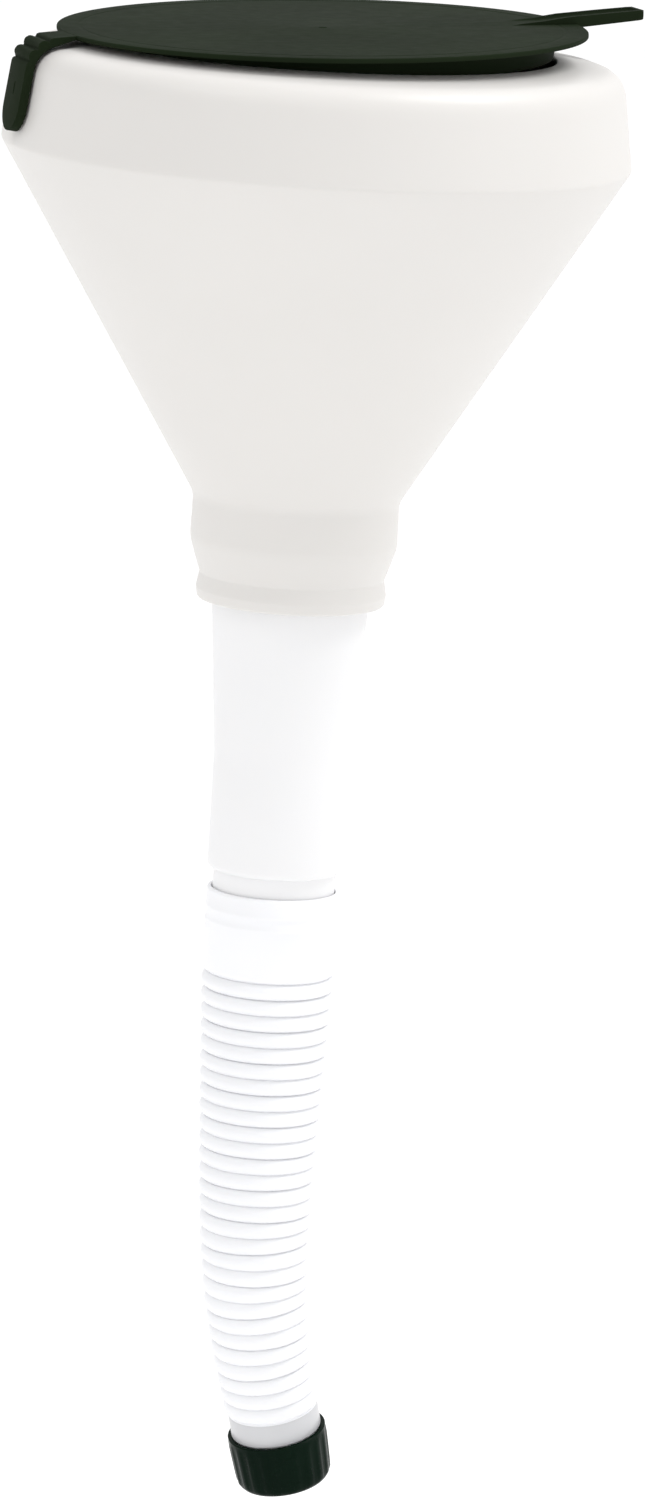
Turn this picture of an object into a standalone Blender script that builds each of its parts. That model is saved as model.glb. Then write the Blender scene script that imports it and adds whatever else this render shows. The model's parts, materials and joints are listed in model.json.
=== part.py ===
"""Pouring funnel: lidded bowl, lift-out strainer, rigid spout, bending corrugated spout and screw cap.

Frame: +Z up along the bowl's axis, origin on that axis at the underside of the neck's bead.
The lid's strap is on the -X side and its pull tab on the +X side.
Every size below is in millimetres and every angle in degrees; objects are made in metres.
"""

import math

import bmesh
import bpy
from mathutils import Matrix, Vector

MM = 0.001
X_AXIS = Vector((1, 0, 0))
Y_AXIS = Vector((0, 1, 0))
Z_AXIS = Vector((0, 0, 1))

# Facets round each turned piece
BOWL_STEPS = 48
SPOUT_STEPS = 36
HOSE_STEPS = 24
CAP_STEPS = 36

# Bowl: mouth, top that falls to a rounded shoulder, leaning wall, cone, neck with a bead
MOUTH_R = 77.3
RIM_Z = 185.0
SHEET = 2.0
SHOULDER_R = 91.8
SHOULDER_Z = 174.0
SHOULDER_FILLET = 9.0
WALL_FOOT_R = 104.2
WALL_FOOT_Z = 150.5
WALL_LEAN = 8.1
CONE_FOOT_R = 34.1
CONE_FOOT_Z = 35.4
NECK_OUTSIDE = ((34.5, 21.9), (33.0, 13.1), (30.9, 8.9), (31.1, 6.6), (31.7, 3.9), (31.4, 1.2))
NECK_INSIDE = ((31.1, 13.9), (32.5, 21.9))
NECK_LIP_R = 26.8
NECK_FACE_R = 30.3
GROOVE_R = 29.3
GROOVE_LOW = 1.7
GROOVE_HIGH = 6.3
GROOVE_CATCH_R = 28.3

# Rigid spout: head flange in the neck's groove, tapering tube, barbed nipple
SPOUT_TOP_R = 26.3
SPOUT_FOOT_R = 22.7
SPOUT_FOOT_Z = -91.5
SPOUT_WALL = 1.7
SPOUT_WAIST_R = 22.5
SPOUT_WAIST_Z = -53.0
SPOUT_TAPER = ((24.8, -19.0), (23.6, -34.0), (SPOUT_WAIST_R, SPOUT_WAIST_Z), (SPOUT_WAIST_R, -70.0))
FLANGE_R = 28.8
FLANGE_LOW = 2.05
FLANGE_HIGH = 5.95
NIPPLE_R = 20.5
NIPPLE_FOOT_Z = -117.0
NIPPLE_BORE_R = 18.6
BARB_HEIGHT = 0.7
BARB_ZS = (-105.0, -109.4)

# Corrugated spout: cuff, then rings of two ribs, each with a lip inside the next ring's socket
CUFF_R = 22.3
CUFF_BORE_R = 20.9
CUFF_TOP_Z = -98.0
HOSE_TOP_Z = -127.0
RIB_PITCH = 5.5
RINGS = 14
FIRST_CREST_R = 22.7
LAST_CREST_R = 16.4
FIRST_RIB_DEPTH = 1.9
LAST_RIB_DEPTH = 1.4
RING_SPAN = 2 * RIB_PITCH
HALF_GAP = 1.7
SOCKET_WALL = 1.0
SOCKET_DEPTH = 7.3
LIP_CLEARANCE = 0.4
LIP_TAPER = 0.3
LIP_WALL = 1.1
LIP_DEPTH = 4.4

# Hose bend at rest: about -Y for the odd joints and about X for the even ones
BEND_TO_X = 14.8
BEND_TO_Y = 6.3
BEND_CENTRE = 11.2
BEND_SPREAD = 3.3

# Outlet below the last rib, screw thread and cap
COLLAR_R = 15.4
COLLAR_LENGTH = 8.8
THREAD_NECK_R = 13.7
THREAD_NECK_LENGTH = 15.3
OUTLET_BORE_R = 12.2
THREAD_PITCH = 4.0
THREAD_BASE = 1.6
THREAD_TIP = 0.9
THREAD_START = 2.2
OUTLET_THREAD_R = 14.6
OUTLET_THREAD_TURNS = 2.25
CAP_THREAD_R = 14.05
CAP_THREAD_TURNS = 1.25
CAP_HEIGHT = 18.6
CAP_FLOOR = 1.8
CAP_RIM_R = 17.1
CAP_FOOT_R = 16.2
CAP_BORE_R = 15.05
CAP_BORE_FOOT_R = 14.7
CAP_BORE_STEP_Z = -11.5
CAP_GRIPS = 18
GRIP_HEIGHT = 0.4
CLEAR = 0.3
LINER_R = 13.9
LINER_THICKNESS = 1.2

# Lid, its strap and its pull tab
LID_R = 87.5
LID_THICKNESS = 1.6
LID_UNDERSIDE_Z = 185.4
SKIRT_R = 76.5
SKIRT_WALL = 1.5
SKIRT_DEPTH = 7.0
LID_REST_OPENING = 2.5
STRAP_WIDTH = 16.7
STRAP_THICKNESS = 3.0
STRAP_SWEEP = (66.0, 44.0, 22.0)
STRAP_BEND_R = 11.5
STRAP_MIDDLE = STRAP_BEND_R * math.cos(math.radians(90 - WALL_LEAN - STRAP_SWEEP[0]))
STRAP_GAP = STRAP_MIDDLE - SHOULDER_FILLET - STRAP_THICKNESS / 2
STRAP_ROOT_RISE = 10.2
LINK_INNER_GAP = 0.65
LINK_OUTER_GAP = 0.85
LINK_RIB = 0.6
TAIL_LENGTH = 23.7
BUTTON_DOWN = 9.6
BUTTON_R = 3.6
BUTTON_HEAD_R = 5.2
BUTTON_HOLE_R = 4.1
BUTTON_HEAD_THICKNESS = 1.5
BUTTON_REACH = 2.0
BUTTON_BURIED = 0.8
TAB_WIDTH = 12.0
TAB_ROOT_X = 62.0
TAB_TIP_X = 111.5
TAB_TIP_LOW = 2.7
TAB_TIP_HIGH = 5.8
TAB_RIDGE_RISE = 1.8

# Strainer: basket frame and gauze cup
STRAINER_RIM_R = 33.6
STRAINER_RIM_Z = 39.2
STRAINER_RIM_HEIGHT = 1.8
STRAINER_TOP_R = 31.2
STRAINER_FOOT_R = 28.5
STRAINER_WALL = 1.4
STRAINER_WINDOWS = 6
WINDOW_Z = 27.6
WINDOW_SIZE = (12.0, 24.0, 17.5)
STRAINER_FOOT_Z = 14.5
STRAINER_FOOT_LIP = 3.5
STRAINER_FOOT_HEIGHT = 1.6
GAUZE_GAP = 0.5
GAUZE = 0.6


def clear_scene():
    for item in list(bpy.data.objects):
        bpy.data.objects.remove(item, do_unlink=True)


def make_material(name, colour, roughness, metallic=0.0):
    material = bpy.data.materials.new(name)
    material.use_nodes = True
    shader = material.node_tree.nodes["Principled BSDF"]
    shader.inputs["Base Color"].default_value = (*colour, 1)
    shader.inputs["Roughness"].default_value = roughness
    shader.inputs["Metallic"].default_value = metallic
    return material


def place(name, bm, material, matrix=Matrix()):
    """Turn a bmesh in millimetres into an object whose origin is the matrix's place in metres."""
    bmesh.ops.recalc_face_normals(bm, faces=bm.faces)
    mesh = bpy.data.meshes.new(name)
    bm.to_mesh(mesh)
    bm.free()
    mesh.transform(Matrix.Scale(MM, 4))
    mesh.shade_smooth()
    mesh.set_sharp_from_angle(angle=math.radians(35))
    item = bpy.data.objects.new(name, mesh)
    item.data.materials.append(material)
    bpy.context.collection.objects.link(item)
    item.matrix_world = Matrix.Translation(matrix.translation * MM) @ matrix.to_3x3().to_4x4()
    return item


def turned(outline, steps):
    """Spin an outline of (radius, height) points round Z; a point on the axis closes it."""
    bm = bmesh.new()
    verts = [bm.verts.new((r, 0, z)) for r, z in outline]
    edges = [bm.edges.new(pair) for pair in zip(verts, verts[1:])]
    if outline[0][0] > 0:
        edges.append(bm.edges.new((verts[-1], verts[0])))
    bmesh.ops.spin(
        bm, geom=verts + edges, axis=Z_AXIS, cent=(0, 0, 0), angle=math.tau, steps=steps, use_merge=True
    )
    bmesh.ops.remove_doubles(bm, verts=bm.verts, dist=0.001)
    return bm


def prism(outline, thickness):
    """Extrude an outline in the YZ plane along X, centred on X = 0."""
    bm = bmesh.new()
    face = bm.faces.new([bm.verts.new((-thickness / 2, y, z)) for y, z in outline])
    grown = bmesh.ops.extrude_face_region(bm, geom=[face])["geom"]
    moved = [part for part in grown if isinstance(part, bmesh.types.BMVert)]
    bmesh.ops.translate(bm, verts=moved, vec=(thickness, 0, 0))
    return bm


def ribbon(outline, width):
    """Extrude an outline in the XZ plane along Y, centred on Y = 0."""
    bm = bmesh.new()
    face = bm.faces.new([bm.verts.new((x, -width / 2, z)) for x, z in outline])
    grown = bmesh.ops.extrude_face_region(bm, geom=[face])["geom"]
    moved = [part for part in grown if isinstance(part, bmesh.types.BMVert)]
    bmesh.ops.translate(bm, verts=moved, vec=(0, width, 0))
    return bm


def arc(centre, radius, start, end, count):
    """Points (x, z) round an arc, angles from +X towards +Z."""
    angles = [math.radians(start + (end - start) * i / (count - 1)) for i in range(count)]
    return [(centre[0] + radius * math.cos(a), centre[1] + radius * math.sin(a)) for a in angles]


def combine(item, tool, operation):
    """Apply a tool object to an item with an exact Boolean."""
    tool.hide_render = True
    tool.display_type = "WIRE"
    modifier = item.modifiers.new(tool.name, "BOOLEAN")
    modifier.operation = operation
    modifier.solver = "EXACT"
    modifier.object = tool


def helix_ridge(root_r, tip_r, start_z, turns, steps_per_turn):
    """Right-handed thread ridge, fading out over an eighth of a turn at both ends."""
    bm = bmesh.new()
    count = round(turns * steps_per_turn)
    fade = steps_per_turn / 8
    sections = []
    for i in range(count + 1):
        turn = math.tau * i / steps_per_turn
        height = min(1.0, (min(i, count - i) + 0.6) / fade)
        tip = root_r + (tip_r - root_r) * height
        z = start_z + THREAD_PITCH * i / steps_per_turn
        section = [(root_r, -THREAD_BASE), (root_r, THREAD_BASE), (tip, THREAD_TIP), (tip, -THREAD_TIP)]
        sections.append(
            [bm.verts.new((r * math.cos(turn), r * math.sin(turn), z + half / 2)) for r, half in section]
        )
    for near, far in zip(sections, sections[1:]):
        for k in range(4):
            bm.faces.new((near[k], near[(k + 1) % 4], far[(k + 1) % 4], far[k]))
    bm.faces.new(sections[0])
    bm.faces.new(sections[-1])
    return bm


def turn_about(point, axis, degrees):
    """Matrix that turns about an axis through a point."""
    turn = Matrix.Rotation(math.radians(degrees), 4, axis)
    return Matrix.Translation(point) @ turn @ Matrix.Translation(-Vector(point))


def cone_r(z):
    """Outer radius of the bowl's cone at a height."""
    slope = (WALL_FOOT_R - CONE_FOOT_R) / (WALL_FOOT_Z - 1.5 - CONE_FOOT_Z)
    return CONE_FOOT_R + slope * (z - CONE_FOOT_Z)


def strap_pivots():
    """Flex lines of the strap with the lid shut, from the tail up to the lid."""
    pivots = []
    for sweep in STRAP_SWEEP:
        a = math.radians(sweep)
        x = SHOULDER_R + STRAP_BEND_R * math.sin(a)
        z = SHOULDER_Z + STRAP_BEND_R * math.cos(a)
        pivots.append(Vector((-x, 0, z)))
    return pivots


def strap_chain():
    """Matrices that carry each link, then the lid, from shut to the resting opening."""
    chain = []
    matrix = Matrix()
    for pivot in strap_pivots():
        matrix = matrix @ turn_about(pivot, -Y_AXIS, LID_REST_OPENING / len(STRAP_SWEEP))
        chain.append(matrix.copy())
    return chain


def hose_axis(joint):
    """Axis that a hose joint turns about in the straight hose; joints count from 1."""
    return -Y_AXIS if joint % 2 else X_AXIS


def hose_rest_bends():
    """Resting bend of each hose joint: a hump of weights low on the hose, shared by axis."""
    weights = [math.exp(-(((j - BEND_CENTRE) / BEND_SPREAD) ** 2)) for j in range(1, RINGS + 1)]
    totals = (sum(weights[0::2]), sum(weights[1::2]))
    spans = (BEND_TO_X, BEND_TO_Y)
    return [spans[j % 2] * weights[j] / totals[j % 2] for j in range(RINGS)]


def hose_pivot(joint):
    """A joint's place in the straight hose."""
    return Vector((0, 0, HOSE_TOP_Z - RING_SPAN * (joint - 1)))


def hose_chain():
    """Matrices that carry each ring from the straight hose to the resting bend."""
    chain = []
    matrix = Matrix()
    for joint, bend in enumerate(hose_rest_bends(), start=1):
        matrix = matrix @ turn_about(hose_pivot(joint), hose_axis(joint), bend)
        chain.append(matrix.copy())
    return chain


def crest_r(rib):
    """Outer radius of a rib, counted from 0 at the top."""
    return FIRST_CREST_R + (LAST_CREST_R - FIRST_CREST_R) * rib / (2 * RINGS - 1)


def rib_depth(rib):
    return FIRST_RIB_DEPTH + (LAST_RIB_DEPTH - FIRST_RIB_DEPTH) * rib / (2 * RINGS - 1)


def socket_r(joint):
    """Radius of the socket in the ring below a joint."""
    rib = 2 * joint - 1.5
    return crest_r(rib) - rib_depth(rib) - SOCKET_WALL


def lip(joint, shoulder_z, pivot_z):
    """Outline of the lip that enters the ring below a joint: outer side, end, bore side."""
    outer = socket_r(joint) - LIP_CLEARANCE
    end_z = pivot_z - LIP_DEPTH
    return [
        (outer, pivot_z + HALF_GAP),
        (outer - LIP_TAPER, end_z),
        (outer - LIP_WALL, end_z),
        (outer - LIP_WALL, shoulder_z),
    ]


def ribs_outline(ring):
    """Outer side of a ring's two ribs, from its top edge to its bottom edge."""
    upper = crest_r(2 * ring - 2)
    lower = crest_r(2 * ring - 1)
    groove = crest_r(2 * ring - 1.5) - rib_depth(2 * ring - 1.5)
    return [
        (upper - 0.3, -HALF_GAP),
        (upper, -HALF_GAP - 0.3),
        (upper, -0.65 * RIB_PITCH),
        (groove, -RIB_PITCH),
        (lower, -1.35 * RIB_PITCH),
        (lower, HALF_GAP + 0.3 - RING_SPAN),
        (lower - 0.3, HALF_GAP - RING_SPAN),
    ]


def make_bowl(material):
    outer = [(MOUTH_R, RIM_Z)]
    outer += arc((SHOULDER_R, SHOULDER_Z), SHOULDER_FILLET, 90 - WALL_LEAN, WALL_LEAN, 6)
    outer += [
        (WALL_FOOT_R - 0.1, WALL_FOOT_Z + 1.0),
        (WALL_FOOT_R - 0.2, WALL_FOOT_Z - 1.5),
        (CONE_FOOT_R + 0.8, CONE_FOOT_Z + 1.2),
        (CONE_FOOT_R, CONE_FOOT_Z - 2.0),
        *NECK_OUTSIDE,
        (NECK_FACE_R, 0.0),
    ]
    cone_inset = SHEET / math.cos(math.radians(32))
    inner = [
        (NECK_LIP_R, 0.0),
        (NECK_LIP_R, GROOVE_LOW),
        (GROOVE_R, GROOVE_LOW),
        (GROOVE_R, GROOVE_HIGH),
        (GROOVE_CATCH_R, GROOVE_HIGH),
        (GROOVE_CATCH_R, 9.3),
        *NECK_INSIDE,
        (CONE_FOOT_R - SHEET, CONE_FOOT_Z - 1.6),
        (cone_r(WALL_FOOT_Z - 3.2) - cone_inset, WALL_FOOT_Z - 3.2),
        (WALL_FOOT_R - SHEET, WALL_FOOT_Z + 0.6),
    ]
    inner += arc((SHOULDER_R, SHOULDER_Z), SHOULDER_FILLET - SHEET, WALL_LEAN, 90 - WALL_LEAN, 4)
    inner.append((MOUTH_R, RIM_Z - SHEET))
    bowl = place("funnel_bowl", turned(outer + inner, BOWL_STEPS), material)
    hole = bmesh.new()
    bmesh.ops.create_cone(
        hole, segments=16, radius1=BUTTON_HOLE_R, radius2=BUTTON_HOLE_R, depth=20, cap_ends=True
    )
    along_x = Matrix.Rotation(math.radians(90), 4, Y_AXIS)
    cutter = place("button_hole", hole, material, strap_tail_frame() @ button_spot() @ along_x)
    combine(bowl, cutter, "DIFFERENCE")


def strap_tail_frame():
    """Frame at the top flex line, +Z up along the leaning wall and -X out of it."""
    top = strap_pivots()[0]
    return Matrix.Translation(top) @ Matrix.Rotation(math.radians(WALL_LEAN), 4, Y_AXIS)


def button_spot():
    return Matrix.Translation((0, 0, -BUTTON_DOWN))


def make_strap_tail(material):
    half = STRAP_WIDTH / 2
    foot = [(half * math.cos(a), half * math.sin(a) - TAIL_LENGTH + half) for a in
            [math.radians(180 + 180 * i / 12) for i in range(13)]]
    outline = [(-half, -LINK_OUTER_GAP)] + foot + [(half, -LINK_OUTER_GAP)]
    tail = place("strap_tail", prism(outline, STRAP_THICKNESS), material, strap_tail_frame())
    shank_end = STRAP_THICKNESS / 2 + STRAP_GAP + SHEET + BUTTON_REACH
    shank_start = STRAP_THICKNESS / 2 - BUTTON_BURIED
    head = shank_end - BUTTON_HEAD_THICKNESS
    button = [
        (0.0, shank_start),
        (BUTTON_R, shank_start),
        (BUTTON_R, head),
        (BUTTON_HEAD_R, head),
        (BUTTON_HEAD_R - 1.2, shank_end),
        (0.0, shank_end),
    ]
    along_x = Matrix.Rotation(math.radians(90), 4, Y_AXIS)
    tool = place("snap_button", turned(button, 16), material, strap_tail_frame() @ button_spot() @ along_x)
    combine(tail, tool, "UNION")


def make_hinge_links(material):
    """Two short stretches of strap between the three flex lines."""
    pivots = strap_pivots()
    for index, (matrix, low, high) in enumerate(zip(strap_chain(), pivots, pivots[1:]), start=1):
        span = high - low
        half = STRAP_THICKNESS / 2
        outline = [
            (-half, LINK_OUTER_GAP),
            (half, LINK_INNER_GAP),
            (half, span.length - LINK_INNER_GAP),
            (-half, span.length - LINK_OUTER_GAP),
            (-half - LINK_RIB, span.length / 2 + 0.7),
            (-half - LINK_RIB, span.length / 2 - 0.7),
        ]
        lean = math.degrees(math.atan2(span.x, span.z))
        frame = Matrix.Translation(low) @ Matrix.Rotation(math.radians(lean), 4, Y_AXIS)
        place(f"hinge_link_{index}", ribbon(outline, STRAP_WIDTH), material, matrix @ frame)


def make_lid(material):
    """Disc, plug skirt, strap root and pull tab, made shut and carried to the resting opening."""
    pivot = strap_pivots()[-1]
    top = LID_UNDERSIDE_Z + LID_THICKNESS
    foot = LID_UNDERSIDE_Z - SKIRT_DEPTH
    outline = [
        (0.0, top),
        (LID_R - 0.5, top),
        (LID_R, top - 0.5),
        (LID_R, LID_UNDERSIDE_Z),
        (SKIRT_R, LID_UNDERSIDE_Z),
        (SKIRT_R - 0.5, foot),
        (SKIRT_R - SKIRT_WALL, foot),
        (SKIRT_R - SKIRT_WALL, LID_UNDERSIDE_Z),
        (0.0, LID_UNDERSIDE_Z),
    ]
    disc = turned(outline, BOWL_STEPS)
    shut = Matrix.Translation(pivot)
    carried = strap_chain()[-1] @ shut
    disc.transform(shut.inverted())
    lid = place("lid", disc, material, carried)
    rise = math.radians(STRAP_ROOT_RISE)
    along = Vector((math.cos(rise), 0, math.sin(rise)))
    across = Vector((-math.sin(rise), 0, math.cos(rise))) * STRAP_THICKNESS / 2
    low = pivot + along * LINK_INNER_GAP - across
    high = pivot + along * LINK_OUTER_GAP + across
    merge_x = -LID_R + 1.0
    root = ribbon(
        [
            (low.x, low.z),
            (merge_x, LID_UNDERSIDE_Z + 0.15),
            (merge_x + 3.0, LID_UNDERSIDE_Z + 0.15),
            (merge_x + 3.0, top - 0.1),
            (high.x, high.z),
        ],
        STRAP_WIDTH,
    )
    root.transform(shut.inverted())
    combine(lid, place("strap_root", root, material, carried), "UNION")
    tab = ribbon(
        [
            (TAB_ROOT_X, top - 0.6),
            (LID_R - 1.5, LID_UNDERSIDE_Z + 0.3),
            (TAB_TIP_X, LID_UNDERSIDE_Z + TAB_TIP_LOW),
            (TAB_TIP_X, LID_UNDERSIDE_Z + TAB_TIP_HIGH - 0.4),
            (TAB_TIP_X - 1.0, LID_UNDERSIDE_Z + TAB_TIP_HIGH),
            (TAB_ROOT_X + 14.0, top + TAB_RIDGE_RISE),
        ],
        TAB_WIDTH,
    )
    tab.transform(shut.inverted())
    combine(lid, place("pull_tab", tab, material, carried), "UNION")


def make_strainer(frame_material, gauze_material):
    foot_r = STRAINER_FOOT_R
    top_r = STRAINER_TOP_R
    rim_top = STRAINER_RIM_Z + STRAINER_RIM_HEIGHT
    outline = [
        (STRAINER_RIM_R, rim_top),
        (STRAINER_RIM_R - 0.4, STRAINER_RIM_Z),
        (top_r, STRAINER_RIM_Z),
        (foot_r, STRAINER_FOOT_Z),
        (foot_r - STRAINER_FOOT_LIP, STRAINER_FOOT_Z),
        (foot_r - STRAINER_FOOT_LIP, STRAINER_FOOT_Z + STRAINER_FOOT_HEIGHT),
        (foot_r - STRAINER_WALL, STRAINER_FOOT_Z + STRAINER_FOOT_HEIGHT),
        (top_r - STRAINER_WALL, STRAINER_RIM_Z),
        (top_r - STRAINER_WALL, rim_top),
    ]
    frame = place("strainer_frame", turned(outline, SPOUT_STEPS), frame_material)
    windows = bmesh.new()
    for index in range(STRAINER_WINDOWS):
        turn = Matrix.Rotation(math.tau * (index + 0.5) / STRAINER_WINDOWS, 4, Z_AXIS)
        spot = Matrix.Translation((foot_r + 1.5, 0, WINDOW_Z))
        size = Matrix.Diagonal((*WINDOW_SIZE, 1))
        bmesh.ops.create_cube(windows, size=1, matrix=turn @ spot @ size)
    combine(frame, place("basket_windows", windows, frame_material), "DIFFERENCE")
    mesh_foot = STRAINER_FOOT_Z + STRAINER_FOOT_HEIGHT + CLEAR
    foot_outer = foot_r - STRAINER_WALL - GAUZE_GAP
    top_outer = top_r - STRAINER_WALL - GAUZE_GAP
    cup = [
        (0.0, mesh_foot),
        (foot_outer, mesh_foot),
        (top_outer, STRAINER_RIM_Z - 0.4),
        (top_outer - GAUZE, STRAINER_RIM_Z - 0.4),
        (foot_outer - GAUZE, mesh_foot + GAUZE),
        (0.0, mesh_foot + GAUZE),
    ]
    place("strainer_mesh", turned(cup, HOSE_STEPS), gauze_material)


def make_spout_tube(material):
    outer = [
        (FLANGE_R - 0.6, FLANGE_HIGH),
        (FLANGE_R, FLANGE_HIGH - 0.8),
        (FLANGE_R, FLANGE_LOW),
        (SPOUT_TOP_R, FLANGE_LOW),
        (SPOUT_TOP_R, -0.5),
        *SPOUT_TAPER,
        (SPOUT_FOOT_R, SPOUT_FOOT_Z + 6.5),
        (SPOUT_FOOT_R, SPOUT_FOOT_Z + 1.8),
        (SPOUT_FOOT_R - 0.6, SPOUT_FOOT_Z + 0.5),
        (SPOUT_FOOT_R - 1.9, SPOUT_FOOT_Z),
        (NIPPLE_R, SPOUT_FOOT_Z),
    ]
    for z in BARB_ZS:
        outer += [(NIPPLE_R, z + 0.4), (NIPPLE_R + BARB_HEIGHT, z), (NIPPLE_R, z - 1.6)]
    outer += [(NIPPLE_R, NIPPLE_FOOT_Z + 1.0), (NIPPLE_R - 0.8, NIPPLE_FOOT_Z)]
    inner = [
        (NIPPLE_BORE_R, NIPPLE_FOOT_Z),
        (NIPPLE_BORE_R, SPOUT_FOOT_Z - 1.0),
        (SPOUT_WAIST_R - SPOUT_WALL, SPOUT_FOOT_Z + 4.0),
        (SPOUT_WAIST_R - SPOUT_WALL, SPOUT_WAIST_Z),
        (SPOUT_TOP_R - SPOUT_WALL, 0.0),
        (SPOUT_TOP_R - SPOUT_WALL, FLANGE_HIGH - 1.0),
        (SPOUT_TOP_R - SPOUT_WALL + 1.0, FLANGE_HIGH),
    ]
    place("spout_tube", turned(outer + inner, SPOUT_STEPS), material)


def make_hose_cuff(material):
    edge = HOSE_TOP_Z + HALF_GAP
    outline = [
        (CUFF_BORE_R, CUFF_TOP_Z),
        (CUFF_R - 1.0, CUFF_TOP_Z),
        (CUFF_R, CUFF_TOP_Z - 1.2),
        (CUFF_R, edge + 0.5),
        (CUFF_R - 0.4, edge),
    ]
    shoulder = NIPPLE_FOOT_Z - 0.8
    outline += lip(1, shoulder - 0.6, HOSE_TOP_Z)
    outline += [(NIPPLE_BORE_R + 0.2, shoulder), (CUFF_BORE_R, shoulder)]
    for z in reversed(BARB_ZS):
        outline += [(CUFF_BORE_R, z - 1.8), (CUFF_BORE_R + BARB_HEIGHT, z - 0.1), (CUFF_BORE_R, z + 0.8)]
    place("hose_cuff", turned(outline, SPOUT_STEPS), material)


def make_hose_rings(material):
    """Every ring but the last; each one's origin is on the joint above it."""
    for ring, matrix in enumerate(hose_chain()[:-1], start=1):
        outline = [(socket_r(ring), -HALF_GAP)] + ribs_outline(ring)
        outline += lip(ring + 1, -SOCKET_DEPTH, -RING_SPAN)
        outline.append((socket_r(ring), -SOCKET_DEPTH))
        bm = turned(outline, HOSE_STEPS)
        place(f"hose_ring_{ring:02d}", bm, material, matrix @ Matrix.Translation(hose_pivot(ring)))


def outlet_frame():
    """Frame of the last ring, origin on the joint above it and +Z back up the hose."""
    return hose_chain()[-1] @ Matrix.Translation(hose_pivot(RINGS))


def collar_foot():
    return -RING_SPAN - COLLAR_LENGTH


def make_hose_outlet(material):
    """The last two ribs, the plain collar and the threaded neck under the cap."""
    foot = collar_foot() - THREAD_NECK_LENGTH
    outline = [(socket_r(RINGS), -HALF_GAP)] + ribs_outline(RINGS)[:-2]
    outline += [
        (crest_r(2 * RINGS - 1), 0.35 * RIB_PITCH - RING_SPAN),
        (COLLAR_R - 0.4, -RING_SPAN),
        (COLLAR_R, -RING_SPAN - 1.0),
        (COLLAR_R, collar_foot()),
        (THREAD_NECK_R, collar_foot()),
        (THREAD_NECK_R, foot + 0.6),
        (THREAD_NECK_R - 0.5, foot),
        (OUTLET_BORE_R, foot),
        (OUTLET_BORE_R, -SOCKET_DEPTH),
        (socket_r(RINGS), -SOCKET_DEPTH),
    ]
    outlet = place("hose_outlet", turned(outline, HOSE_STEPS), material, outlet_frame())
    start = foot + THREAD_START
    ridge = helix_ridge(THREAD_NECK_R - 0.4, OUTLET_THREAD_R, start, OUTLET_THREAD_TURNS, HOSE_STEPS)
    combine(outlet, place("outlet_thread", ridge, material, outlet_frame()), "UNION")


def cap_frame():
    """Frame at the middle of the cap's rim, +Z back up the hose."""
    return outlet_frame() @ Matrix.Translation((0, 0, collar_foot() - CLEAR))


def make_cap(material):
    """Ribbed cap, hollowed by a turned cutter, with a thread inside."""
    bm = bmesh.new()
    points = []
    for grip in range(CAP_GRIPS):
        for share, rise in ((0.1, 0.0), (0.3, 1.0), (0.7, 1.0), (0.9, 0.0)):
            angle = math.tau * (grip + share) / CAP_GRIPS
            radius = CAP_RIM_R - GRIP_HEIGHT + GRIP_HEIGHT * rise
            points.append((radius * math.cos(angle), radius * math.sin(angle)))
    face = bm.faces.new([bm.verts.new((x, y, 0)) for x, y in points])
    levels = ((1.5 - CAP_HEIGHT, CAP_FOOT_R), (-CAP_HEIGHT, CAP_FOOT_R - 1.2))
    for level, (height, radius) in enumerate(levels):
        grown = bmesh.ops.extrude_face_region(bm, geom=[face])["geom"]
        if level:
            bmesh.ops.delete(bm, geom=[face], context="FACES_ONLY")
        face = next(part for part in grown if isinstance(part, bmesh.types.BMFace))
        scale = radius / max(vert.co.xy.length for vert in face.verts)
        for vert in face.verts:
            vert.co = (vert.co.x * scale, vert.co.y * scale, height)
    cap = place("spout_cap", bm, material, cap_frame())
    cavity = [
        (0.0, 5.0),
        (CAP_BORE_R, 5.0),
        (CAP_BORE_R, CAP_BORE_STEP_Z),
        (CAP_BORE_FOOT_R, CAP_BORE_STEP_Z - 0.5),
        (CAP_BORE_FOOT_R, CAP_FLOOR - CAP_HEIGHT),
        (0.0, CAP_FLOOR - CAP_HEIGHT),
    ]
    combine(cap, place("cap_cavity", turned(cavity, CAP_STEPS), material, cap_frame()), "DIFFERENCE")
    ridge_foot = CLEAR - THREAD_NECK_LENGTH + THREAD_START + THREAD_PITCH / 2
    ridge = helix_ridge(CAP_BORE_R + 0.3, CAP_THREAD_R, ridge_foot, CAP_THREAD_TURNS, CAP_STEPS)
    combine(cap, place("cap_thread", ridge, material, cap_frame()), "UNION")


def make_liner(material):
    low = CAP_FLOOR - CAP_HEIGHT + CLEAR
    outline = [
        (0.0, low),
        (LINER_R, low),
        (LINER_R, low + LINER_THICKNESS),
        (0.0, low + LINER_THICKNESS),
    ]
    place("cap_liner", turned(outline, HOSE_STEPS), material, cap_frame())


def main():
    clear_scene()
    natural = make_material("natural_polyethylene", (0.86, 0.86, 0.85), 0.42)
    hose = make_material("hose_polyethylene", (0.88, 0.89, 0.91), 0.34)
    black = make_material("black_polyethylene", (0.03, 0.04, 0.033), 0.45)
    gauze = make_material("brass_gauze", (0.72, 0.56, 0.27), 0.35, 1.0)
    seal = make_material("seal_foam", (0.62, 0.62, 0.6), 0.8)
    make_bowl(natural)
    make_strap_tail(black)
    make_hinge_links(black)
    make_lid(black)
    make_strainer(natural, gauze)
    make_spout_tube(natural)
    make_hose_cuff(hose)
    make_hose_rings(hose)
    make_hose_outlet(hose)
    make_liner(seal)
    make_cap(black)


main()
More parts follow.
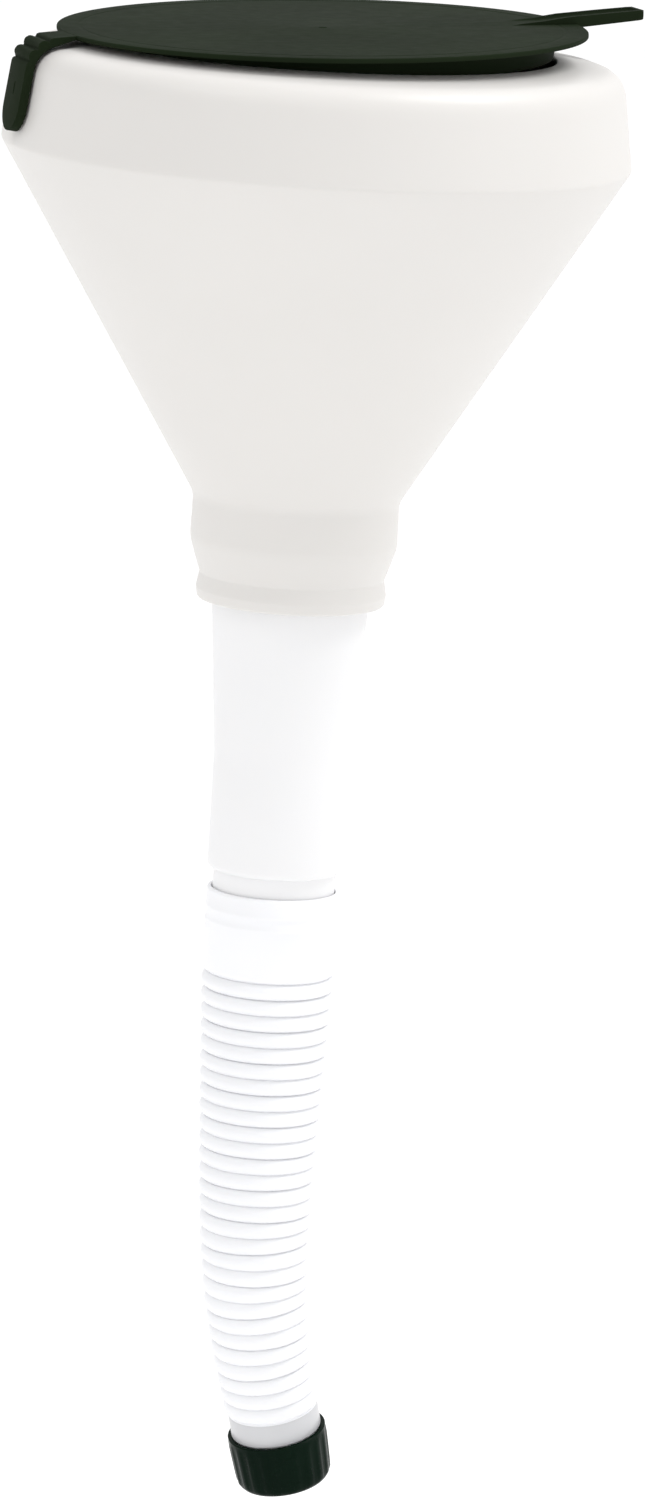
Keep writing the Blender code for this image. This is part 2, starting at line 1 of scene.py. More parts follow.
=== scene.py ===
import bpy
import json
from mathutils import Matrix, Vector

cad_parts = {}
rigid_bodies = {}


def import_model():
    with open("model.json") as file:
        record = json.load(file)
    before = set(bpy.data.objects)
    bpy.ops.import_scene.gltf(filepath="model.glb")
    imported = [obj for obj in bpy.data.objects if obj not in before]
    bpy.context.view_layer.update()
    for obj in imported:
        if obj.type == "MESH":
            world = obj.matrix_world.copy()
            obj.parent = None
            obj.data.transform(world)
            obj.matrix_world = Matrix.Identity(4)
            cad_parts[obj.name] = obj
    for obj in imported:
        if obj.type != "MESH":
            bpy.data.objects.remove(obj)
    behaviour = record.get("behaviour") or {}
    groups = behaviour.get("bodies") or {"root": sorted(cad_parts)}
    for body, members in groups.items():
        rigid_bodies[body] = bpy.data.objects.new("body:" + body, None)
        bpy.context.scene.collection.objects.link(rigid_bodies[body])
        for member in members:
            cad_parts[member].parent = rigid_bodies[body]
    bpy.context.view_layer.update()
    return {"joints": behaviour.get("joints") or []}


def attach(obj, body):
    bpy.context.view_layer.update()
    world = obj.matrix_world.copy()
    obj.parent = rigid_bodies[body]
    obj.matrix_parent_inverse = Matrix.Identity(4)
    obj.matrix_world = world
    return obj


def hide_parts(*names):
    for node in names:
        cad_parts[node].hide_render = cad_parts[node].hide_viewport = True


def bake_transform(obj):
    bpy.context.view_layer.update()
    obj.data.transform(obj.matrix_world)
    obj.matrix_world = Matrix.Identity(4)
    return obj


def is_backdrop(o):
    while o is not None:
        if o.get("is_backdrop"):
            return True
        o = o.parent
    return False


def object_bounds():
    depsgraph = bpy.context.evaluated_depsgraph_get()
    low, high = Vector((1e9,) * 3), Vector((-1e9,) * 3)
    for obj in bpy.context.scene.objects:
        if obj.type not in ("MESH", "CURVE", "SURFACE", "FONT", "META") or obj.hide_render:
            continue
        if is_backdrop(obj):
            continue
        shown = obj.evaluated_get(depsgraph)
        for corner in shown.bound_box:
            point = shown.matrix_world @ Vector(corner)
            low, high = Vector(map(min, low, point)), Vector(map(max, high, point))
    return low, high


bl_info = {
    "name": "Lidded Funnel",
    "version": (1, 0, 0),
    "blender": (4, 5, 0),
    "location": "3D View > Sidebar > Funnel",
    "description": "Finishes a lidded funnel with a bending spout round its working model",
    "category": "Object",
}

import json
import math

import bpy
from mathutils import Matrix, Vector

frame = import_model()

MM = 0.001
TRIM_REACH = 20.0
X_AXIS = Vector((1, 0, 0))
Y_AXIS = Vector((0, 1, 0))
Z_AXIS = Vector((0, 0, 1))

JOINTS = {joint["name"]: joint for joint in frame["joints"]}
HOSE_JOINTS = [joint for joint in frame["joints"] if joint["name"].startswith("hose_bend")]
STRAP_JOINTS = [JOINTS[name] for name in ("lid_open", "lid_open_middle", "lid_open_top")]


def joint_place(joint):
    return Vector(joint["pos_m"])


# ---------------------------------------------------------------- sizes and colours a user may change


class FunnelSizes(bpy.types.PropertyGroup):
    rib_depth_top: bpy.props.FloatProperty(
        name="Top rib depth", description="Depth of the first rib's groove", default=1.9 * MM, unit="LENGTH"
    )
    rib_depth_foot: bpy.props.FloatProperty(
        name="Last rib depth", description="Depth of the last rib's groove", default=1.4 * MM, unit="LENGTH"
    )
    hose_wall: bpy.props.FloatProperty(
        name="Hose wall", description="Thickness of the corrugated wall", default=1.0 * MM, unit="LENGTH"
    )
    grips: bpy.props.IntProperty(name="Cap grips", description="Ribs round the cap", default=20, min=6)
    gauze_wires: bpy.props.IntProperty(
        name="Gauze wires", description="Upright wires round the strainer's gauze", default=72, min=12
    )


class FunnelColours(bpy.types.PropertyGroup):
    body: bpy.props.FloatVectorProperty(
        name="Bowl plastic", description="Milky plastic of the bowl and strainer",
        subtype="COLOR", size=3, min=0, max=1, default=(0.72, 0.702, 0.68)
    )
    spout: bpy.props.FloatVectorProperty(
        name="Spout plastic", description="Milky plastic of the rigid spout",
        subtype="COLOR", size=3, min=0, max=1, default=(0.84, 0.838, 0.845)
    )
    hose: bpy.props.FloatVectorProperty(
        name="Hose plastic", description="Thin plastic of the corrugated spout",
        subtype="COLOR", size=3, min=0, max=1, default=(0.89, 0.893, 0.915)
    )
    lid: bpy.props.FloatVectorProperty(
        name="Lid plastic", description="Soft black plastic of the lid and its strap",
        subtype="COLOR", size=3, min=0, max=1, default=(0.009, 0.0145, 0.0065)
    )
    cap: bpy.props.FloatVectorProperty(
        name="Cap plastic", description="Hard black plastic of the screw cap",
        subtype="COLOR", size=3, min=0, max=1, default=(0.0015, 0.007, 0.0035)
    )
    brass: bpy.props.FloatVectorProperty(
        name="Brass", description="Wire of the strainer's gauze",
        subtype="COLOR", size=3, min=0, max=1, default=(0.72, 0.55, 0.26)
    )
    foam: bpy.props.FloatVectorProperty(
        name="Liner foam", description="Foam disc inside the cap",
        subtype="COLOR", size=3, min=0, max=1, default=(0.7, 0.69, 0.66)
    )


def sizes():
    return bpy.context.scene.funnel_sizes


def colours():
    return bpy.context.scene.funnel_colours


# ---------------------------------------------------------------- modelling by hand, in code


def select_only(item=None):
    for other in bpy.context.view_layer.objects:
        other.select_set(False)
    bpy.context.view_layer.objects.active = item
    if item:
        item.select_set(True)


def finish_mesh(item, sharp=40.0):
    """Merge doubles, close holes, point the faces outwards and shade smooth except at sharp edges."""
    select_only(item)
    bpy.ops.object.mode_set(mode="EDIT")
    bpy.ops.mesh.select_all(action="SELECT")
    bpy.ops.mesh.remove_doubles(threshold=0.000002)
    bpy.ops.mesh.fill_holes(sides=0)
    bpy.ops.mesh.select_all(action="SELECT")
    bpy.ops.mesh.normals_make_consistent(inside=False)
    bpy.ops.object.mode_set(mode="OBJECT")
    bpy.ops.object.shade_smooth_by_angle(angle=math.radians(sharp))
    return item


def draw_outline(name, points, closed):
    """Extrude one point from place to place; a closed outline is filled with a face."""
    select_only()
    bpy.ops.mesh.primitive_plane_add(size=MM, location=(0, 0, 0))
    item = bpy.context.object
    item.name = name
    item.data.name = name
    bpy.ops.object.mode_set(mode="EDIT")
    bpy.ops.mesh.select_all(action="SELECT")
    bpy.ops.mesh.merge(type="CENTER")
    spot = Vector(points[0])
    bpy.ops.transform.translate(value=spot)
    for point in points[1:]:
        bpy.ops.mesh.extrude_region_move(TRANSFORM_OT_translate={"value": Vector(point) - spot})
        spot = Vector(point)
    if closed:
        bpy.ops.mesh.select_all(action="SELECT")
        bpy.ops.object.mode_set(mode="OBJECT")
        for vert in item.data.vertices:
            vert.select = vert.index in (0, len(item.data.vertices) - 1)
        bpy.ops.object.mode_set(mode="EDIT")
        bpy.ops.mesh.edge_face_add()
        bpy.ops.object.mode_set(mode="OBJECT")
        if not item.data.polygons:
            bpy.ops.object.mode_set(mode="EDIT")
            bpy.ops.mesh.select_all(action="SELECT")
            bpy.ops.mesh.edge_face_add()
    bpy.ops.object.mode_set(mode="OBJECT")
    return item


def soften(corners, count=5):
    """Outline of (radius, height, fillet) corners in millimetres, with each filleted corner as an arc."""
    points = []
    total = len(corners)
    for i, (r, z, fillet) in enumerate(corners):
        corner = Vector((r, z))
        if not fillet:
            points.append(corner)
            continue
        before = (Vector(corners[(i - 1) % total][:2]) - corner).normalized()
        after = (Vector(corners[(i + 1) % total][:2]) - corner).normalized()
        half = before.angle(after) / 2
        reach = fillet / math.tan(half)
        centre = corner + (before + after).normalized() * (fillet / math.sin(half))
        start = corner + before * reach - centre
        end = corner + after * reach - centre
        for k in range(count):
            share = k / (count - 1)
            points.append(centre + start.slerp(end, share).normalized() * fillet)
    return points


def turn(name, corners, steps=128, sharp=40.0, softened=True):
    """Spin an outline round Z. Corners are (radius, height, fillet) in millimetres."""
    points = soften(corners) if softened else [Vector(corner[:2]) for corner in corners]
    solid = points[0].x > 0.001
    outline = [(p.x * MM, 0, p.y * MM) for p in points]
    item = draw_outline(name, outline, solid)
    bpy.ops.object.mode_set(mode="EDIT")
    bpy.ops.mesh.select_all(action="SELECT")
    if solid:
        bpy.ops.mesh.delete(type="ONLY_FACE")
        bpy.ops.mesh.select_all(action="SELECT")
    bpy.ops.mesh.spin(steps=steps, angle=math.tau, center=(0, 0, 0), axis=(0, 0, 1))
    bpy.ops.object.mode_set(mode="OBJECT")
    return finish_mesh(item, sharp)


def slab(name, outline, width):
    """Extrude an XZ outline in millimetres along Y, centred on Y = 0."""
    item = draw_outline(name, [(x * MM, -width / 2 * MM, z * MM) for x, z in outline], True)
    bpy.ops.object.mode_set(mode="EDIT")
    bpy.ops.mesh.select_all(action="SELECT")
    bpy.ops.mesh.extrude_region_move(TRANSFORM_OT_translate={"value": (0, width * MM, 0)})
    bpy.ops.object.mode_set(mode="OBJECT")
    return finish_mesh(item)


def modify(item, kind, **values):
    """Add a modifier, set it and apply it."""
    select_only(item)
    modifier = item.modifiers.new(kind.lower(), kind)
    for key, value in values.items():
        setattr(modifier, key, value)
    bpy.ops.object.modifier_apply(modifier=modifier.name)
    return item


def cut(item, tool, operation="DIFFERENCE"):
    """Exact Boolean of an item with a tool, which is then removed."""
    modify(item, "BOOLEAN", operation=operation, solver="EXACT", object=tool)
    bpy.data.objects.remove(tool)
    return item


def carry(item, matrix):
    """Move a mesh by a matrix and leave its object at the origin."""
    item.data.transform(matrix)
    item.data.update()
    return item


def bend_over(item, points, index, half_span):
    """Carry a piece made upright, with a joint at its origin, onto a chain that bends at its points.

    The chain runs downwards from points[0]. Within half_span (millimetres) of the joint the middle
    line is a smooth curve, and beyond that it is straight.
    """
    joint = points[index]
    above = (points[index - 1] - joint).normalized()
    below = (points[index + 1] - joint).normalized()
    start, end = joint + above * half_span * MM, joint + below * half_span * MM
    for vert in item.data.vertices:
        height = vert.co.z / MM
        if height >= half_span:
            centre, tangent = joint + above * vert.co.z, above
        elif height <= -half_span:
            centre, tangent = joint - below * vert.co.z, -below
        else:
            t = (half_span - height) / (2 * half_span)
            centre = start * (1 - t) ** 2 + joint * 2 * t * (1 - t) + end * t**2
            tangent = (start - joint) * (1 - t) + (joint - end) * t
        turned = Z_AXIS.rotation_difference(tangent.normalized())
        vert.co = centre + turned @ Vector((vert.co.x, vert.co.y, 0))
    item.data.update()
    return item


def trim(item, height, keep_below):
    """Cut an item off level at a height in millimetres."""
    select_only()
    bpy.ops.mesh.primitive_cube_add(size=2 * TRIM_REACH * MM)
    block = bpy.context.object
    middle = height + TRIM_REACH if keep_below else height - TRIM_REACH
    carry(block, Matrix.Translation((0, 0, middle * MM)))
    return cut(item, block)


def blend_over(item):
    """Bake a bent piece's transform into its mesh."""
    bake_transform(item)


def dress(item, material, nodes=()):
    """Give a piece its material and slot, and hide the working model's nodes it stands for."""
    item.data.materials.clear()
    item.data.materials.append(material)
    if nodes:
        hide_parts(*nodes)
    return item


# ---------------------------------------------------------------- materials


def group_socket(tree, name, kind, in_out, default=None):
    socket = tree.interface.new_socket(name=name, in_out=in_out, socket_type=kind)
    if default is not None:
        socket.default_value = default


def moulded_finish():
    """Node group: faint clouding of the colour, uneven gloss and fine ripple of moulded plastic."""
    name = "moulded_finish"
    if name in bpy.data.node_groups:
        return bpy.data.node_groups[name]
    tree = bpy.data.node_groups.new(name, "ShaderNodeTree")
    group_socket(tree, "Color", "NodeSocketColor", "INPUT", (0.8, 0.8, 0.8, 1))
    group_socket(tree, "Cloud Color", "NodeSocketColor", "INPUT", (0.7, 0.7, 0.7, 1))
    group_socket(tree, "Cloud Scale", "NodeSocketFloat", "INPUT", 12.0)
    group_socket(tree, "Gloss Low", "NodeSocketFloat", "INPUT", 0.35)
    group_socket(tree, "Gloss High", "NodeSocketFloat", "INPUT", 0.5)
    group_socket(tree, "Ripple Scale", "NodeSocketFloat", "INPUT", 60.0)
    group_socket(tree, "Color", "NodeSocketColor", "OUTPUT")
    group_socket(tree, "Roughness", "NodeSocketFloat", "OUTPUT")
    group_socket(tree, "Height", "NodeSocketFloat", "OUTPUT")
    nodes, links = tree.nodes, tree.links
    source = nodes.new("NodeGroupInput")
    sink = nodes.new("NodeGroupOutput")
    place = nodes.new("ShaderNodeTexCoord")
    cloud = nodes.new("ShaderNodeTexNoise")
    cloud.inputs["Detail"].default_value = 3
    links.new(place.outputs["Object"], cloud.inputs["Vector"])
    links.new(source.outputs["Cloud Scale"], cloud.inputs["Scale"])
    mix = nodes.new("ShaderNodeMix")
    mix.data_type = "RGBA"
    spread = nodes.new("ShaderNodeMapRange")
    spread.inputs["From Min"].default_value = 0.35
    spread.inputs["From Max"].default_value = 0.65
    links.new(cloud.outputs["Fac"], spread.inputs["Value"])
    links.new(spread.outputs["Result"], mix.inputs["Factor"])
    links.new(source.outputs["Color"], mix.inputs["A"])
    links.new(source.outputs["Cloud Color"], mix.inputs["B"])
    links.new(mix.outputs["Result"], sink.inputs["Color"])
    ripple = nodes.new("ShaderNodeTexNoise")
    ripple.inputs["Detail"].default_value = 4
    links.new(place.outputs["Object"], ripple.inputs["Vector"])
    links.new(source.outputs["Ripple Scale"], ripple.inputs["Scale"])
    gloss = nodes.new("ShaderNodeMapRange")
    links.new(ripple.outputs["Fac"], gloss.inputs["Value"])
    links.new(source.outputs["Gloss Low"], gloss.inputs["To Min"])
    links.new(source.outputs["Gloss High"], gloss.inputs["To Max"])
    links.new(gloss.outputs["Result"], sink.inputs["Roughness"])
    links.new(ripple.outputs["Fac"], sink.inputs["Height"])
    return tree


def plastic(name, colour, cloud, gloss, cloud_scale=12.0, ripple_scale=60.0, bump=0.05, **shader_values):
    """Material with the moulded finish; shader_values are sockets set directly on the Principled BSDF."""
    if name in bpy.data.materials:
        return bpy.data.materials[name]
    material = bpy.data.materials.new(name)
    material.use_nodes = True
    nodes, links = material.node_tree.nodes, material.node_tree.links
    shader = nodes["Principled BSDF"]
    finish = nodes.new("ShaderNodeGroup")
    finish.node_tree = moulded_finish()
    finish.inputs["Color"].default_value = (*colour, 1)
    finish.inputs["Cloud Color"].default_value = (*cloud, 1)
    finish.inputs["Cloud Scale"].default_value = cloud_scale
    finish.inputs["Gloss Low"].default_value = gloss[0]
    finish.inputs["Gloss High"].default_value = gloss[1]
    finish.inputs["Ripple Scale"].default_value = ripple_scale
    links.new(finish.outputs["Color"], shader.inputs["Base Color"])
    links.new(finish.outputs["Roughness"], shader.inputs["Roughness"])
    relief = nodes.new("ShaderNodeBump")
    relief.inputs["Strength"].default_value = bump
    relief.inputs["Distance"].default_value = 0.0005
    links.new(finish.outputs["Height"], relief.inputs["Height"])
    links.new(relief.outputs["Normal"], shader.inputs["Normal"])
    for socket, value in shader_values.items():
        shader.inputs[socket.replace("_", " ")].default_value = value
    return material


def shade(colour, factor):
    return tuple(channel * factor for channel in colour)


MILKY = {
    "Subsurface_Weight": 0.25,
    "Subsurface_Scale": 0.0015,
    "Subsurface_Radius": (1.0, 0.95, 0.9),
}


def bowl_plastic():
    colour = tuple(colours().body)
    cloud = shade(colour, 0.975)
    return plastic("bowl_polyethylene", colour, cloud, (0.38, 0.46), 9.0, 180.0, 0.04, **MILKY)


def spout_plastic():
    colour = tuple(colours().spout)
    cloud = shade(colour, 0.98)
    return plastic("spout_polyethylene", colour, cloud, (0.34, 0.42), 12.0, 200.0, 0.04, **MILKY)


def hose_plastic():
    colour = tuple(colours().hose)
    cloud = shade(colour, 0.98)
    return plastic("hose_polyethylene", colour, cloud, (0.28, 0.36), 20.0, 240.0, 0.04, **MILKY)


def collar_painted_shade_plastic():
    """The hose plastic darkened to grey: painted shade on the collar just above the cap."""
    colour = shade(tuple(colours().hose), 0.68)
    cloud = shade(colour, 0.96)
    return plastic("collar_painted_shade", colour, cloud, (0.3, 0.38), 20.0, 240.0, 0.04, **MILKY)


def lid_plastic():
    colour = tuple(colours().lid)
    return plastic("lid_polyethylene", colour, shade(colour, 1.25), (0.6, 0.75), 16.0, 220.0, 0.12,
                   Specular_IOR_Level=0.03)


def cap_plastic():
    colour = tuple(colours().cap)
    return plastic("cap_plastic", colour, shade(colour, 1.3), (0.24, 0.32), 40.0, 300.0, 0.03,
                   Specular_IOR_Level=0.04)


def foam():
    colour = tuple(colours().foam)
    return plastic("liner_foam", colour, shade(colour, 0.9), (0.8, 0.95), 300.0, 1500.0, 0.4)


def brass_wire():
    colour = tuple(colours().brass)
    return plastic("brass_wire", colour, shade(colour, 0.7), (0.25, 0.4), 60.0, 400.0, 0.03, Metallic=1.0)


# ---------------------------------------------------------------- bowl


def bowl_corners():
    """The bowl's section, down the outside from the mouth and back up the inside."""
    return [
        (77.3, 185.0, 0.6),
        (99.75, 181.8, 9.0),
        (101.12, 172.0, 0.0),
        (103.7, 153.5, 0.0),
        (104.15, 150.3, 2.4),
        (101.97, 146.7, 0.0),
        (38.84, 42.5, 0.0),
        (34.3, 35.0, 8.0),
        (34.6, 20.0, 12.0),
        (30.85, 8.6, 1.2),
        (31.2, 6.6, 0.6),
        (31.75, 3.6, 1.4),
        (31.2, 0.0, 0.9),
        (26.8, 0.0, 0.2),
        (26.8, 1.7, 0.2),
        (29.3, 1.7, 0.0),
        (29.3, 6.3, 0.0),
        (28.3, 6.3, 0.2),
        (28.3, 9.6, 0.8),
        (32.5, 20.8, 10.0),
        (32.2, 35.0, 4.0),
        (102.05, 149.6, 1.0),
        (97.5, 179.55, 7.0),
        (77.3, 182.9, 0.6),
    ]


WALL_LEAN = 8.1
BUTTON_DOWN = 9.6
BUTTON_HOLE_R = 4.1


def strap_tail_matrix():
    """Frame at the strap's lowest flex line, +Z up along the leaning wall and -X out of it."""
    lean = Matrix.Rotation(math.radians(WALL_LEAN), 4, Y_AXIS)
    return Matrix.Translation(joint_place(STRAP_JOINTS[0])) @ lean


def make_bowl():
    bowl = turn("bowl", bowl_corners(), steps=256)
    select_only()
    bpy.ops.mesh.primitive_cylinder_add(vertices=32, radius=BUTTON_HOLE_R * MM, depth=20 * MM)
    drill = bpy.context.object
    spot = strap_tail_matrix() @ Matrix.Translation((0, 0, -BUTTON_DOWN * MM))
    carry(drill, spot @ Matrix.Rotation(math.radians(90), 4, Y_AXIS))
    cut(bowl, drill)
    finish_mesh(bowl)
    dress(bowl, bowl_plastic(), ["funnel_bowl"])
    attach(bowl, "bowl")


# ---------------------------------------------------------------- strainer

WINDOWS = 6
WINDOW_SIZE = (12.0, 24.0, 17.5)
WINDOW_PLACE = (30.0, 0.0, 27.6)
WINDOW_CORNER = 2.5
GAUZE_WIRE = 0.5


def make_strainer():
    corners = [
        (33.6, 41.0, 0.6),
        (33.2, 39.2, 0.3),
        (31.2, 39.2, 0.3),
        (28.5, 14.5, 0.8),
        (25.0, 14.5, 0.4),
        (25.0, 16.1, 0.4),
        (27.1, 16.1, 0.0),
        (29.8, 39.2, 0.0),
        (29.8, 41.0, 0.4),
    ]
    basket = turn("strainer_basket", corners, steps=96)
    for index in range(WINDOWS):
        select_only()
        bpy.ops.mesh.primitive_cube_add(size=1)
        window = bpy.context.object
        turn_to = Matrix.Rotation(math.tau * (index + 0.5) / WINDOWS, 4, Z_AXIS)
        size = Matrix.Diagonal((*(Vector(WINDOW_SIZE) * MM), 1))
        carry(window, turn_to @ Matrix.Translation(Vector(WINDOW_PLACE) * MM) @ size)
        modify(window, "BEVEL", width=WINDOW_CORNER * MM, segments=4, limit_method="NONE")
        cut(basket, window)
    finish_mesh(basket)
    dress(basket, bowl_plastic(), ["strainer_frame"])
    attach(basket, "strainer")
    cup = [(2 * MM, 0, 17 * MM), (26.2 * MM, 0, 17 * MM), (29.0 * MM, 0, 38.4 * MM)]
    gauze = draw_outline("strainer_gauze", cup, False)
    bpy.ops.object.mode_set(mode="EDIT")
    bpy.ops.mesh.select_all(action="SELECT")
    bpy.ops.mesh.subdivide(number_cuts=15)
    bpy.ops.mesh.select_all(action="SELECT")
    bpy.ops.mesh.spin(steps=sizes().gauze_wires, angle=math.tau, center=(0, 0, 0), axis=(0, 0, 1))
    bpy.ops.object.mode_set(mode="OBJECT")
    finish_mesh(gauze)
    modify(gauze, "WIREFRAME", thickness=GAUZE_WIRE * MM, use_even_offset=False)
    finish_mesh(gauze, 60)
    dress(gauze, brass_wire(), ["strainer_mesh"])
    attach(gauze, "strainer")


# ---------------------------------------------------------------- rigid spout


def make_spout():
    corners = [
        (28.8, 5.95, 0.8),
        (28.8, 2.05, 0.2),
        (26.3, 2.05, 0.2),
        (26.3, -0.5, 0.0),
        (24.8, -19.0, 60.0),
        (22.5, -53.0, 80.0),
        (22.75, -91.5, 2.0),
        (20.5, -91.5, 0.3),
        (20.5, -104.6, 0.0),
        (21.2, -105.0, 0.2),
        (20.5, -106.6, 0.0),
        (20.5, -109.0, 0.0),
        (21.2, -109.4, 0.2),
        (20.5, -111.0, 0.0),
        (20.5, -117.0, 0.8),
        (18.6, -117.0, 0.3),
        (18.6, -92.5, 1.0),
        (20.8, -87.5, 1.0),
        (20.8, -53.0, 30.0),
        (24.6, 0.0, 4.0),
        (24.6, 5.95, 0.6),
    ]
    spout = turn("rigid_spout", corners, steps=128)
    dress(spout, spout_plastic(), ["spout_tube"])
    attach(spout, "spout")


# ---------------------------------------------------------------- corrugated hose

RIB_PITCH = 5.5
HALF_SPAN = RIB_PITCH
RIBS = 2 * len(HOSE_JOINTS)
FIRST_CREST = 22.7
LAST_CREST = 16.4
CUFF_LENGTH = 29.0
COLLAR_LENGTH = 8.8
COLLAR_FOOT = -2 * RIB_PITCH - COLLAR_LENGTH
NECK_FOOT = COLLAR_FOOT - 15.3
COLLAR_SKIN_R = 14.9
RIB_SAMPLES = 12
RIB_ROUNDNESS = 0.62
THREAD_PITCH = 4.0
THREAD_ROOT_HALF = 0.8
THREAD_TIP_HALF = 0.45


def rib_share(along):
    """How far down the ribs a place is, from 0 to 1; along counts millimetres below the first joint."""
    return min(1.0, max(0.0, (along / RIB_PITCH - 0.5) / (RIBS - 1)))


def crest(along):
    return FIRST_CREST + (LAST_CREST - FIRST_CREST) * rib_share(along)


def rib_radius(along):
    """Outer radius of the ribbed wall: round crests between sharp grooves."""
    depth = sizes().rib_depth_top + (sizes().rib_depth_foot - sizes().rib_depth_top) * rib_share(along)
    wave = abs(math.sin(math.pi * along / RIB_PITCH)) ** RIB_ROUNDNESS
    return crest(along) - depth / MM * (1 - wave)


def ribbed_wall(start, end):
    """Outer points (radius, distance along) of the ribbed wall between two places."""
    count = max(1, round((end - start) / RIB_PITCH * RIB_SAMPLES))
    places = [start + (end - start) * i / count for i in range(count + 1)]
    return [(rib_radius(place), place) for place in places]


def hose_points():
    """The hose joints' places, one point above them in the cuff and one below in the outlet."""
    places = [joint_place(joint) for joint in HOSE_JOINTS]
    cap_turn = JOINTS["cap_turn"]
    return [places[0] + Z_AXIS * 2 * HALF_SPAN * MM] + places + [joint_place(cap_turn)]


def bend_hose(item, joint):
    return bend_over(item, hose_points(), joint, HALF_SPAN)


def hose_piece(joint):
    """One joint's stretch of hose, from the middle of the ring above to the middle of the ring below."""
    base = (joint - 1) * 2 * RIB_PITCH
    wall = sizes().hose_wall / MM
    first = joint == 1
    last = joint == len(HOSE_JOINTS)
    start = base if first else base - HALF_SPAN
    end = base + (2 * RIB_PITCH if last else HALF_SPAN)
    ribs = ribbed_wall(start, end)
    outer = [(r, base - s) for r, s in ribs]
    inner = [(r - wall, base - s) for r, s in reversed(ribs)]
    if first:
        outer = cuff_outside() + outer[1:]
        inner = inner[:-1] + cuff_inside()
    if last:
        outer = outer[:-1] + outlet_outside()
        inner = outlet_inside() + inner[1:]
    corners = [(r, z, 0.0) for r, z in outer + inner]
    item = turn(f"hose_{joint:02d}", corners, steps=72, sharp=75.0, softened=False)
    return bend_hose(item, joint)


def arc_points(centre, radius, start, end, count=6):
    """Points (radius, height) round an arc, angles from +X towards +Z."""
    angles = [math.radians(start + (end - start) * i / (count - 1)) for i in range(count)]
    return [(centre[0] + radius * math.cos(a), centre[1] + radius * math.sin(a)) for a in angles]


def cuff_outside():
    """Plain cuff: round top edge, two faint rings over the barbs, and the groove above the first rib."""
    top = CUFF_LENGTH
    points = [(20.9, top - 0.3), (21.1, top)] + arc_points((21.3, top - 1.0), 1.0, 90, 0)
    for z in (22.6, 18.2):
        points += [(22.3, z + 0.9), (22.55, z + 0.3), (22.55, z - 0.3), (22.3, z - 0.9)]
    points += [(22.3, 2.0), (22.0, 0.9), (crest(0) - 1.9, 0.0)]
    return points


def cuff_inside():
    points = [(20.0, 3.0), (18.7, 9.0), (20.9, 9.2)]
    for z in (17.6, 22.0):
        points += [(20.9, z - 1.8), (21.6, z - 0.1), (20.9, z + 0.8)]
    return points


def outlet_outside():
    """Plain collar with a faint bead, then the neck under the cap."""
    foot = -2 * RIB_PITCH
    points = [(15.0, foot), (15.3, foot - 0.5), (15.4, foot - 1.2), (15.4, COLLAR_FOOT + 0.2)]
    return points + [(15.2, COLLAR_FOOT), (13.7, COLLAR_FOOT), (13.7, NECK_FOOT + 0.6), (13.2, NECK_FOOT)]


def outlet_inside():
    return [(12.2, NECK_FOOT), (12.2, -12.8), (13.4, -11.4)]


def screw_thread(name, root, tip, start, turns, per_turn=48):
    """Right-handed thread ridge: a small section swept by the Screw modifier."""
    section = [
        (root, start - THREAD_ROOT_HALF),
        (tip, start - THREAD_TIP_HALF),
        (tip, start + THREAD_TIP_HALF),
        (root, start + THREAD_ROOT_HALF),
    ]
    item = draw_outline(name, [(r * MM, 0, z * MM) for r, z in section], True)
    steps = round(turns * per_turn)
    modify(item, "SCREW", axis="Z", angle=math.tau * turns, screw_offset=THREAD_PITCH * turns * MM,
           steps=steps, render_steps=steps, use_normal_calculate=False, merge_threshold=0.00001)
    finish_mesh(item, 30)
    return item


def paint_collar_shade(piece):
    """Give the collar's outer faces their own greyer material: painted shade just above the cap's rim."""
    piece.data.materials.append(collar_painted_shade_plastic())
    to_cap = cap_matrix().inverted()
    for face in piece.data.polygons:
        centre = to_cap @ face.center / MM
        if 0 < centre.z < COLLAR_LENGTH and centre.xy.length > COLLAR_SKIN_R:
            face.material_index = 1


def make_hose():
    material = hose_plastic()
    nodes = ["hose_cuff"] + [f"hose_ring_{i:02d}" for i in range(1, len(HOSE_JOINTS))] + ["hose_outlet"]
    for joint in range(1, len(HOSE_JOINTS) + 1):
        piece = hose_piece(joint)
        stands_for = [nodes[joint]] + ([nodes[0]] if joint == 1 else [])
        dress(piece, material, stands_for)
        blend_over(piece)
    # Painted shade: the collar's outer faces turn grey.
    paint_collar_shade(piece)
    thread = screw_thread("outlet_thread", 13.4, 14.6, NECK_FOOT + 2.2, 2.25)
    bend_hose(thread, len(HOSE_JOINTS))
    dress(thread, material)
    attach(thread, "outlet")


# ---------------------------------------------------------------- cap and liner

CAP_FOOT = -18.6
CAP_FLOOR = CAP_FOOT + 1.8
CAP_THREAD_START = -10.8
GRIP_TOP = -1.5
GRIP_FOOT = CAP_FOOT + 1.4
GRIP_HEIGHT = 0.32
GRIP_INNER_R = 15.55


def cap_matrix():
    """Frame at the middle of the cap's rim, +Z back up the hose."""
    joint = JOINTS["cap_turn"]
    back = -Vector(joint["axis"])
    return Matrix.Translation(joint_place(joint)) @ Z_AXIS.rotation_difference(back).to_matrix().to_4x4()


